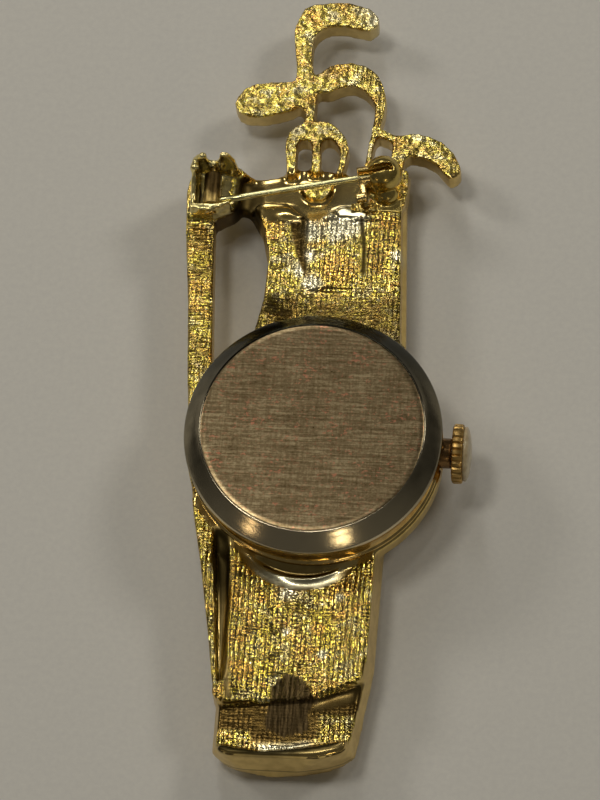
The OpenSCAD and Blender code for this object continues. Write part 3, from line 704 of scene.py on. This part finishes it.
def zones(place, facing):
    """How much of each vertex is brushed upright, brushed level or lumpy, and how much it is
    darkened: tarnished in some places, painted shade in others.
    """
    x, y, z = place.T
    up = ramp(facing[:, 2], 0.45, 0.8)
    off_ring = ramp(np.hypot(x, y) - np.where(y < 0, crest(x), RING_R), 0.0, 0.45)

    # Below the watch: the field, and the recess at its end with a band along the rim.
    rim = ramp(rim_y(x) + 0.45 * glint(x) - y, -0.1, 0.1)
    slot = within(place, SLOT, -0.2, 0.15) * (z > 3.8)
    sill = within(place, SILL, -0.1, 0.15) * (z > 3.8)
    lower = up * ramp(z, 4.2, 4.32) * ramp(-y, 4, 5) * off_ring
    lower = lower * (1 - rim) * (1 - slot) * (1 - sill)
    top_left = within(place, LEFT_OF_SLOT, -0.3, 0.3) * (1 - ramp(-y, 8.5, 10.5))
    recess = up * ramp(z, 3.7, 3.85) * (1 - ramp(z, 4.2, 4.3)) * ramp(-y, 20.5, 21)
    recess = recess * (1 - sill) * (1 - rim * 0.5)
    right_end = recess * ramp(x, 1.4, 2.6) * ramp(-y, 23.4, 24.2)
    band = recess * ramp(-y, 25.2 + 1.4 * glint(x), 25.9 + 0.95 * glint(x))
    band = np.maximum(band, right_end * 0.75)

    # Above the watch: the bag up to its lobes, its tongue, and the wedge of painted shade on
    # it.
    bag = up * ramp(z, 4.2, 4.35) * ramp(x, -7.6, -7.2) * ramp(y, 4, 5)
    bag = bag * ramp(-y, -22.9, -22.3) * off_ring
    for outline in LOBES:
        bag = bag * (1 - within(place, outline, -0.15, 0.15))
    inside = depth_in(place, TONGUE)
    tongue = ramp(inside, -0.1, 0.15)
    left_x, left_y = zip(*TONGUE[2::-1])   # its left edge, from the watch upwards
    from_left = x - np.interp(y, left_y, left_x)
    wedge = ramp(from_left, -0.3, 0.2) * (1 - ramp(from_left - 0.26 * (y - 14.4), -0.7, 0.3))
    wedge = wedge * ramp(y, 15.2, 16) * bag
    bag = bag - wedge * 0.75
    low = 1 - ramp(y, 13.6, 15.0)
    lobe = bag * (1 - tongue) * (1 - low) * ramp(-x, 1.2, 2.2)
    flank = bag * (1 - tongue) * (1 - low) * ramp(x, 2.4, 2.9)

    # The strap, the clubs, the pads of the hinge and the catch, and a round lump.
    strap = up * ramp(z, 4.2, 4.4) * ramp(-x, 7.9, 8.1) * ramp(y, -5, -4)
    strap = strap * ramp(-y, -22.5, -21.5)
    clubs = up * ramp(z, 3.6, 3.85) * ramp(y, 26.6, 27.2)
    hatched = clubs * ramp(x, -0.5, 0.3) * (1 - ramp(y, 37, 38.5))
    pads = up * ramp(z, 4.4, 4.7) * ramp(y, 22.4, 23.2)
    pads = pads * np.clip(ramp(-x, 8, 8.3) + ramp(x, 2, 2.4), 0, 1)
    foot = up * ramp(z, 3.5, 3.65) * (1 - ramp(z, 4.2, 4.5))
    foot = foot * (np.hypot(x + 1.7, y - 25.4) < 1.6)

    upright = (lower * (1 - top_left) + band * 0.8 + bag * tongue * 0.8 + lobe * 0.4
               + flank * 0.75)
    level = (lower * top_left * 0.6 + (recess - band) * 0.32 + strap
             + (bag * (1 - tongue) - lobe - flank) * 0.9 + flank * 0.3 + lobe * 0.2
             + hatched * 0.5)
    lumpy = (clubs - hatched * 0.5 + pads + foot + bag * tongue * 0.4 + lower * 0.12
             + lower * top_left * 0.35 + strap * 0.2 + lobe * 0.6)

    # Tarnish lies in the recess, below the tongue and on the sill. Painted shade lies under
    # the rim, on the wall by the hinge, along the tongue and on its wedge, in the slot, on the
    # step and the catch's side, and in the dip below the lip. The lower field also darkens
    # towards the strap, and the satin band round the crescent a little.
    under_rim = ramp(-facing[:, 1], 0.3, 0.5) * ramp(z, 4.4, 4.6) * ramp(-y, 25.5, 26.5)
    wall = (facing[:, 2] < 0.4) * ramp(z, 0.5, 1) * ramp(-x, 7.0, 7.6) * ramp(y, 20.5, 21.0)
    wall = wall * (z < 4.9) * ramp(-facing[:, 1], -0.1, 0.3) * ramp(x, -12.2, -11.4) * (y < 26)
    edged = np.exp(-(inside / 0.25) ** 2) * ramp(y, 16.2, 17) * bag
    tarnish_and_shade = ((recess - band) * 1.1 + under_rim * 0.8 + low * bag * (1 - tongue) * 0.62
               + wall * 0.9 + slot * (0.85 - 0.3 * ramp(-y, 12, 16)) + sill * 0.8
               + within(place, STEP, -0.2, 0.2) * 0.8
               + within(place, CATCH_SIDE, -0.2, 0.2) * 0.8 + edged * 0.7 + wedge * 0.9
               + up * ramp(-x, 3, 6) * lower * 0.3 + dip(place) * 0.55
               + satin_edge(place) * 0.4)
    return [np.clip(v, 0, 1) for v in (upright, level, lumpy, tarnish_and_shade)]


def below_lip(place):
    """Distance in mm inside the edge of the smooth crescent below the watch's lip, and
    how much of the crescent there is."""
    x, y, z = place.T
    return crest(x) - np.hypot(x, y), ramp(crest(x), 11.7, 12.5) * (y < 0) * (z > 3.6)


def dip(place):
    """How deep the dark hollow next to the lip goes, from 0 to 1."""
    inward, there = below_lip(place)
    return ramp(inward, 0.75, 1.35) * there


def satin_edge(place):
    """The duller band round the outside of the crescent, from 0 to 1."""
    inward, there = below_lip(place)
    return ramp(inward, -0.35, 0) * (1 - ramp(inward, 0.1, 0.3)) * there


def roll(place):
    """The smooth raised edge outside that hollow, from 0 to 1."""
    inward, there = below_lip(place)
    return np.clip((inward - 0.2) / 0.6, 0, 1) * (1 - ramp(inward, 0.8, 1.15)) * there


def refine(piece):
    """Halves the edges of the faces that are to be worked."""
    place, facing = skin(piece)
    upright, level, lumpy, _ = zones(place, facing)
    choose(piece, upright + level + lumpy + 2 * dip(place) + roll(place) > 0.25)
    bpy.ops.mesh.select_mode(type="FACE")
    bpy.ops.mesh.subdivide(number_cuts=1)
    bpy.ops.object.mode_set(mode="OBJECT")


def work_over(piece):
    """Brushed lines and lumps, and then the low forms that are raised or pressed in."""
    place, facing = skin(piece)
    for name, weights in zip(("upright", "level", "lumpy"), zones(place, facing)):
        weigh(piece, name, weights)
    ripple(piece, "upright", 0.17, (0.42, 4.2, 3))
    ripple(piece, "level", 0.13, (3.6, 0.45, 3))
    ripple(piece, "lumpy", 0.24, (0.6, 0.6, 0.6))
    x, y, z = place.T
    up = facing[:, 2] > 0.3
    swell(piece, "dip", dip(place) * up, -0.16)
    swell(piece, "roll", roll(place) * up * (0.3 + 0.7 * ramp(x, -3.5, 0.5)), 0.1)
    swell(piece, "brow", np.clip((rim_y(x) - y + 0.4) / 0.45, 0, 1) * up * (z > 3.4)
          * (1 - ramp(z, 4.2, 4.5)) * glint(x), -0.08)
    swell(piece, "fill", np.clip((-7.3 - x) / 1.1, 0, 1) * up * (x > -8.75) * (z < 4.8)
          * ramp(y, 21.3, 21.9) * (1 - ramp(y, 25.2, 25.7)), 0.4)
    swell(piece, "shelf", np.clip((y - 21.3 - 0.25 * x) / 1.1, 0, 1) * up * (z > 4)
          * within(place, LOBES[1], -0.3, 0), -0.26)


def melt(piece):
    """Smooths the slot, the sill, the lobes, the steps and the base of the bag."""
    place, _ = skin(piece)
    soft = ramp(-place[:, 1], 26.2, 26.6) * (place[:, 2] > 3.3)
    for outline, reach in ((SLOT, 0.4), (SILL, 0.5), (LOBES[0], 0.5), (LOBES[1], 0.3),
                           (STEP, 0.6), (CATCH_SIDE, 0.3), (TOE, 0.2)):
        soft = np.maximum(soft, within(place, outline, -reach, 0.1))
    weigh(piece, "soft", soft * (place[:, 2] > 2.8))
    work(piece, "SMOOTH", factor=0.5, iterations=16, vertex_group="soft")


def casting_body():
    """The casting without its fittings, melted, worked over by hand and coloured."""
    piece = solid_copy("casting", "casting_body")
    for low, high in (HINGE_PLOT, CATCH_PLOT):
        cut(piece, (*low, PAD_Z), (*high, TOP_Z))
    recast(piece, 0.22, 3)
    refine(piece)
    work_over(piece)
    melt(piece)
    paint_zones(piece)
    smoothed(piece, CAST_ANGLE)
    dressed(piece, CAST_GOLD, "brooch", "casting")


# Round patches of paler, redder and yellower gold: X, Y and radius. Among the paler ones are
# painted highlights: a strip along the rim at the bag's base and a spot on the right lobe at
# its mouth.
PALE_AND_HIGHLIGHT = [
    (0.8, 21.6, 1.9), (-2.0, 20.6, 1.1), (-1.9, 18.2, 0.7), (-1.4, 15.6, 0.9),
    (-2.6, 16.8, 0.6), (5.8, 18.4, 0.6), (-1.3, -16.7, 0.4), (1.9, -18.6, 0.5),
    (3.0, -13.4, 0.5), (4.0, 43.0, 2.2), (1.9, 23.0, 1.3), (-1.6, -13.2, 0.8),
    (-2.6, -27.0, 0.5), (-1.7, -27.0, 0.5), (-0.8, -26.95, 0.5), (0.1, -26.8, 0.5),
    (1.0, -26.6, 0.5)
]
ORANGE = [
    (0.8, 17.0, 1.5), (-5.4, 20.6, 1.2), (-4.7, -20.4, 0.9), (1.4, -16.3, 0.6),
    (0.2, -18.3, 0.6), (-6.0, -14.1, 0.6), (-3.5, -13.8, 0.5), (-11.6, 20.2, 0.6),
    (-11.4, 14.8, 0.8), (5.4, 21.6, 0.5), (-1.2, 37.5, 1.6)
]
LEMON = [(1.7, -15.4, 0.9), (1.9, -17.4, 0.8), (-3.1, -16.9, 0.6), (-2.7, -20.0, 0.7),
         (-11.2, 17.5, 0.9)]


def rim_top(place):
    """Painted shade: the dark line along the top of the rim at the bag's base."""
    x, y, z = place.T
    line = np.exp(-((rim_y(x) - 0.62 - y) / 0.36) ** 2) * 1.4
    return line * ramp(z, 4.2, 4.4) * (y < -24) * (1 - ramp(x, 3, 5))


def tongue_side(place):
    """Painted shade: the dark line down the right side of the tongue above the watch."""
    x, y, z = place.T
    line = np.exp(-(depth_in(place, TONGUE) / 0.2) ** 2) * ramp(x, 0.8, 1.4)
    return line * ramp(y, 16, 16.8) * (1 - ramp(y, 21.6, 22.2)) * (z > 3.8) * 0.75


def near(place, spots):
    """Soft round patches: for each spot its place and its radius in mm."""
    total = np.zeros(len(place))
    for x, y, radius in spots:
        total += np.exp(-((place[:, 0] - x) ** 2 + (place[:, 1] - y) ** 2) / radius ** 2)
    return total


def paint_zones(piece):
    """The zones, the gold's tints with painted highlights and painted shade, and the old
    staining with painted shade, as attributes for the finish.
    """
    place, facing = skin(piece)
    facing = np.where(facing[:, 2:] > 0.35, (0, 0, 1), facing)
    _, y, z = place.T
    inward, there = below_lip(place)
    # Painted sheen and highlight on the crescent below the lip.
    crescent = ramp(inward, -0.3, 0) * (1 - ramp(inward, 0.75, 1.0)) * there
    pale_and_highlight = near(place, PALE_AND_HIGHLIGHT) + crescent + 0.15 * ramp(y, 26.6, 27.5)
    # Painted shade in the slot, lighter towards the bag's base.
    slot = within(place, SLOT, -0.3, 0.1) * (0.86 - 0.4 * ramp(-y, 12, 16))
    # Painted shade on the step, the catch's side, the rim's top and the tongue's right side.
    corners = (within(place, STEP, -0.2, 0.3) * 0.62
               + within(place, CATCH_SIDE, -0.2, 0.2) * 0.62
               + rim_top(place) + tongue_side(place))
    hues_and_painted_light = (pale_and_highlight, near(place, ORANGE), near(place, LEMON), np.maximum(slot, corners))
    for name, layers in (("work", zones(place, facing)), ("hue", hues_and_painted_light)):
        colours = np.clip(np.stack(layers, 1), 0, 1).astype(np.float32)
        piece.data.attributes.new(name, "FLOAT_COLOR", "POINT").data.foreach_set(
            "color", colours.ravel())
    # Painted shade on the end wall below the rim, added to the old staining.
    end_wall = ramp(-facing[:, 1], 0.3, 0.5) * ramp(z, 4.5, 4.7) * (y < -25)
    stained_and_shaded = within(place, STAIN, -0.35, 0.35) * (z > 3.7) + end_wall * 1.2
    satin = np.maximum(1 - ramp(np.abs(facing[:, 2]), 0.2, 0.5), satin_edge(place))
    for name, values in (("stain", stained_and_shaded), ("satin", satin)):
        piece.data.attributes.new(name, "FLOAT", "POINT").data.foreach_set(
            "value", values.astype(np.float32))


casting_body()


def fitting(name, plot, voxel, passes):
    """A soldered fitting, cut off above its pad, sunk into it and melted on its own."""
    low, high = plot
    piece = cut(solid_copy("casting", name), (*low, FITTING_Z), (*high, TOP_Z), "INTERSECT")
    pick(piece, lambda co: co.z < FITTING_Z + 0.01)
    bpy.ops.transform.translate(value=(0, 0, -SINK * MM))
    bpy.ops.object.mode_set(mode="OBJECT")
    return recast(piece, voxel, passes)


# X, Y, Z, radius and half height of each bead of solder on the hinge's box.
HINGE_BEADS = [(-9.95, 25.6, 6.7, 0.3, 0.6), (-9.1, 25.6, 5.6, 0.32, 0.32),
               (-12.1, 25.0, 7.4, 0.4, 0.4), (-11.35, 25.8, 8.1, 0.3, 0.3),
               (-10.75, 25.6, 6.5, 0.28, 0.3)]


def hinge_box():
    """The hinge's box, rounded over, with lumpy solder along its heel and its front."""
    piece = fitting("hinge_box", HINGE_PLOT, 0.1, 24)
    place, _ = skin(piece)
    x, y, z = place.T
    lumps = np.clip(1 - ramp(x, -11.9, -11.5) + 1 - ramp(y, 21.9, 22.3), 0, 1)
    weigh(piece, "solder", lumps * (1 - ramp(z, 7.0, 7.4)) * ramp(z, 4.9, 5.1))
    ripple(piece, "solder", 0.2, (0.8, 0.8, 0.8), direction="NORMAL")
    weigh(piece, "floor", 1 - ramp(z, 5.2, 5.5))
    work(piece, "SMOOTH", factor=0.5, iterations=30, vertex_group="floor")
    beads = np.zeros(len(place))
    for bead_x, bead_y, bead_z, wide, tall in HINGE_BEADS:
        beads += np.exp(-((x - bead_x) ** 2 + (y - bead_y) ** 2) / wide ** 2
                        - ((z - bead_z) / tall) ** 2)
    slope = np.clip((x + 9.8) / 1.2, 0, 1) * (z < 5.4) * (y < 25.5)
    swell(piece, "slope", slope, -0.28)
    swell(piece, "beads", np.clip(beads, 0, 1), 0.36, "NORMAL")
    smoothed(piece, CAST_ANGLE)
    dressed(piece, HINGE_GOLD, "brooch", "casting")


def catch_ball():
    """The ball of the catch, lumpy with solder round its foot."""
    piece = fitting("catch_ball", CATCH_PLOT, 0.07, 3)
    place, _ = skin(piece)
    x, _, z = place.T
    weigh(piece, "solder", (1 - ramp(z, 5.3, 5.6)) * ramp(z, 4.85, 5.0) * ramp(-x, -4.6, -4.0))
    ripple(piece, "solder", 0.2, (0.6, 0.6, 0.6), direction="NORMAL")
    smoothed(piece, CAST_ANGLE)
    dressed(piece, FITTING_GOLD, "brooch", "casting")


hinge_box()
catch_ball()


# ---- Watch case ----

ROUND_STEPS = 192
DISC_R, DISC_Z = 9.47, 9.33   # the case back's disc lies inside this radius, above this height


def case_back():
    """Brushed disc inside a polished bevel, with a thin bright edge between them."""
    piece = turned("case_back", [
        (0.5, 7.25), (9.75, 7.25), (9.75, 7.7), (10.9, 7.7), (11.0, 7.76), (11.0, 7.96),
        (10.95, 8.07), (10.86, 8.17), (10.594, 8.442), (10.32, 8.706), (10.039, 8.962),
        (9.75, 9.21), (9.66, 9.31), (9.6, 9.37), (9.54, 9.39),
        (9.49, 9.38), (9.46, 9.34), (9.43, 9.35), (9.38, 9.37), (9.0, 9.375), (4.5, 9.39),
        (0.5, 9.4)], ROUND_STEPS)
    smoothed(piece, 50)
    dressed(piece, BEVEL_STEEL, "brooch", "case_back", BRUSHED_STEEL)
    for face in piece.data.polygons:
        centre = face.center / MM
        if centre.z > DISC_Z and centre.xy.length < DISC_R:
            face.material_index = 1
    fixed(piece, spot(0, 0, 0))


case_back()


def case_middle():
    """The case's band with its lip, and the short tube that the crown's stem runs in."""
    band = turned("case_band", [
        (8.3, 2.0), (8.95, 2.0), (8.95, 1.0), (9.75, 1.0), (9.75, 5.05), (10.85, 5.05),
        (10.85, 5.27), (10.72, 5.36), (10.62, 5.46), (10.58, 5.9), (10.6, 6.5), (10.7, 7.1),
        (10.86, 7.5), (10.9, 7.65), (9.8, 7.65), (9.8, 7.15), (9.2, 7.15), (9.2, 2.75),
        (8.3, 2.75)], ROUND_STEPS, ring=True)
    softened(band, 0.05)
    fixed(band, spot(0, 0, 0))
    dressed(band, CASE_GOLD, "brooch", "case_middle")
    tube = turned("crown_tube", [(0.49, 9.6), (1.3, 9.6), (1.3, 11.65), (0.49, 11.65)], 48,
                  ring=True)
    softened(tube, 0.08)
    fixed(tube, spot(0, 0, CROWN_Z), (0, math.pi / 2, 0))
    dressed(tube, SHADED_TUBE_GOLD, "brooch", "case_middle")


case_middle()


def crystal():
    """The domed glass, which faces down."""
    piece = turned("crystal", [(0.4, 0.551), (2.5, 0.605), (5, 0.77), (7, 0.98), (8.3, 1.16),
                               (8.9, 1.25), (8.9, 1.95), (0.4, 1.95)])
    softened(piece, 0.06, degrees=50)
    fixed(piece, spot(0, 0, 0))
    dressed(piece, clear_glass(), "brooch", "crystal")


crystal()


# ---- Crown ----

FLUTES = 28
FLUTE_STEPS = 8   # vertices round the knob for each flute
FLUTED_R = 2.2    # the flutes are cut outside this radius
KNOB_X, CAP_X = 11.75, 12.9


def steps_from_flute(co):
    """How many vertices round the knob a place is from the middle of a flute."""
    step = round(math.atan2(co.y, co.x) / math.tau * FLUTES * FLUTE_STEPS) % FLUTE_STEPS
    return min(step, FLUTE_STEPS - step)


def crown():
    """A turned knob whose rim is pulled in at each flute, and its domed ivory cap."""
    piece = turned("crown_knob", [
        (0.47, 0.5), (0.47, 0.0), (2.3, 0.0), (2.5, 0.1), (2.55, 0.25), (2.55, 0.75),
        (2.5, 0.88), (2.38, 0.95), (2.05, 0.95), (2.05, 0.6), (0.6, 0.6)],
        FLUTES * FLUTE_STEPS)
    for steps, grow in ((0, 0.945), (1, 0.968)):
        pick(piece, lambda co: co.xy.length >= FLUTED_R and steps_from_flute(co) == steps)
        bpy.ops.transform.resize(value=(grow, grow, 1), center_override=(0, 0, 0))
        bpy.ops.object.mode_set(mode="OBJECT")
    smoothed(piece, 35)
    fixed(piece, spot(KNOB_X, 0, CROWN_Z), (0, math.pi / 2, 0))
    dressed(piece, CROWN_GOLD, "crown", "crown")
    cap = turned("crown_cap", [
        (0.4, -0.5), (2.0, -0.5), (2.0, -0.19), (2.26, -0.19), (2.33, -0.12), (2.35, 0.0),
        (2.28, 0.12), (2.0, 0.25), (1.5, 0.37), (0.85, 0.455), (0.3, 0.49), (0.02, 0.5)])
    smoothed(cap, 45)
    fixed(cap, spot(CAP_X, 0, CROWN_Z), (0, math.pi / 2, 0))
    dressed(cap, ivory(), "crown", "crown_cap")


crown()


# ---- Pin, rivet and catch ----

def pin():
    """The pointed shaft, the eye that turns on the rivet, and the rivet with its heads."""
    shaft = turned("pin_shaft", [
        (0.2, 0.35), (0.28, 0.4), (0.28, 3), (0.285, 6), (0.28, 9), (0.28, 13.3), (0.24, 14.2),
        (0.17, 15.2), (0.11, 15.75), (0.05, 15.88), (0.01, 15.9)], 32)
    smoothed(shaft, 60)
    fixed(shaft, spot(*HINGE), (0, math.pi / 2, PIN_TURN))
    dressed(shaft, PIN_GOLD, "pin", "pin_stem")
    eye = turned("pin_eye", [(0.36, -0.35), (0.75, -0.35), (0.75, 2.65), (0.36, 2.65)], 40,
                 ring=True)
    softened(eye, 0.12)
    fixed(eye, spot(*HINGE), (-math.pi / 2, 0, 0))
    dressed(eye, SHADED_EYE_GOLD, "pin", "pin_stem")
    rivet = turned("hinge_rivet", [
        (0.12, -1.2), (0.3, -1.18), (0.42, -1.13), (0.45, -1.06), (0.32, -1.04), (0.32, 3.74),
        (0.45, 3.76), (0.42, 3.83), (0.3, 3.88), (0.12, 3.9)], 32)
    smoothed(rivet, 50)
    fixed(rivet, spot(*HINGE), (-math.pi / 2, 0, 0))
    dressed(rivet, POLISHED_GOLD, "brooch", "hinge_rivet")


pin()


def sleeve():
    """The turning sleeve of the catch, with its edges melted a little."""
    piece = recast(solid_copy("catch_sleeve", "catch_sleeve_tube"), 0.06, 3)
    smoothed(piece, CAST_ANGLE)
    dressed(piece, POLISHED_GOLD, "sleeve", "catch_sleeve")


sleeve()


# ---- CAD nodes that stay, with their finishes ----

for node, material in {"dial": dial_paint(), "movement": WATCH_STEEL,
                       "centre_arbor": WATCH_BRASS, "hour_hand": HAND_BLACK,
                       "minute_hand": HAND_BLACK, "winding_stem": WATCH_STEEL}.items():
    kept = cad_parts[node]
    kept.data.materials.clear()
    kept.data.materials.append(material)


# ---- Floor and light ----

FLOOR_SIZE = 1.2
SKY_COLOUR, SKY_STRENGTH = (1.0, 0.94, 0.80, 1), 0.07
DAYLIGHT, LAMPLIGHT = (1.0, 0.97, 0.92), (1.0, 0.94, 0.84)
# Each lamp's name, place in metres, width, height, power in watts and colour.
LAMPS = (
    ("key", (-0.17, 0.05, 0.57), 0.12, 0.12, 0.48, (1.0, 0.95, 0.86)),
    ("over", (-0.02, 0.05, 0.60), 0.035, 0.035, 0.10, DAYLIGHT),
    ("back", (-0.106, 0.48, 0.344), 0.10, 0.22, 0.22, DAYLIGHT),
    ("strip", (-0.083, 0.376, 0.46), 0.06, 0.12, 0.11, DAYLIGHT),
    ("left", (-0.36, 0.19, 0.29), 0.12, 0.12, 0.30, LAMPLIGHT),
    ("right", (0.31, 0.20, 0.34), 0.12, 0.12, 0.34, LAMPLIGHT),
    ("low_left", (-0.316, -0.354, 0.180), 0.04, 0.04, 0.022, (1.0, 0.74, 0.44)),
    ("low_right", (0.159, -0.429, 0.223), 0.075, 0.05, 0.06, (1.0, 0.82, 0.54)),
)


def stage():
    """A plain floor, the lamps, which all face the watch, and a faint warm sky."""
    let_go()
    bpy.ops.mesh.primitive_plane_add(size=FLOOR_SIZE, location=(0, 0, 0))
    floor = named("floor")
    floor.data.materials.append(pale_floor())
    for name, place, wide, tall, power, colour in LAMPS:
        data = bpy.data.lights.new(name, "AREA")
        data.shape = "ELLIPSE"
        data.size, data.size_y, data.energy, data.color = wide, tall, power, colour
        lamp = bpy.data.objects.new(name, data)
        scene.collection.objects.link(lamp)
        lamp.location = place
        lamp.rotation_euler = (-Vector(place)).to_track_quat("-Z", "Y").to_euler()
    world = bpy.data.worlds.new("studio")
    scene.world = world
    world.use_nodes = True
    sky = world.node_tree.nodes["Background"]
    sky.inputs["Color"].default_value = SKY_COLOUR
    sky.inputs["Strength"].default_value = SKY_STRENGTH
    scene.view_settings.view_transform = "Standard"


stage()
let_go()
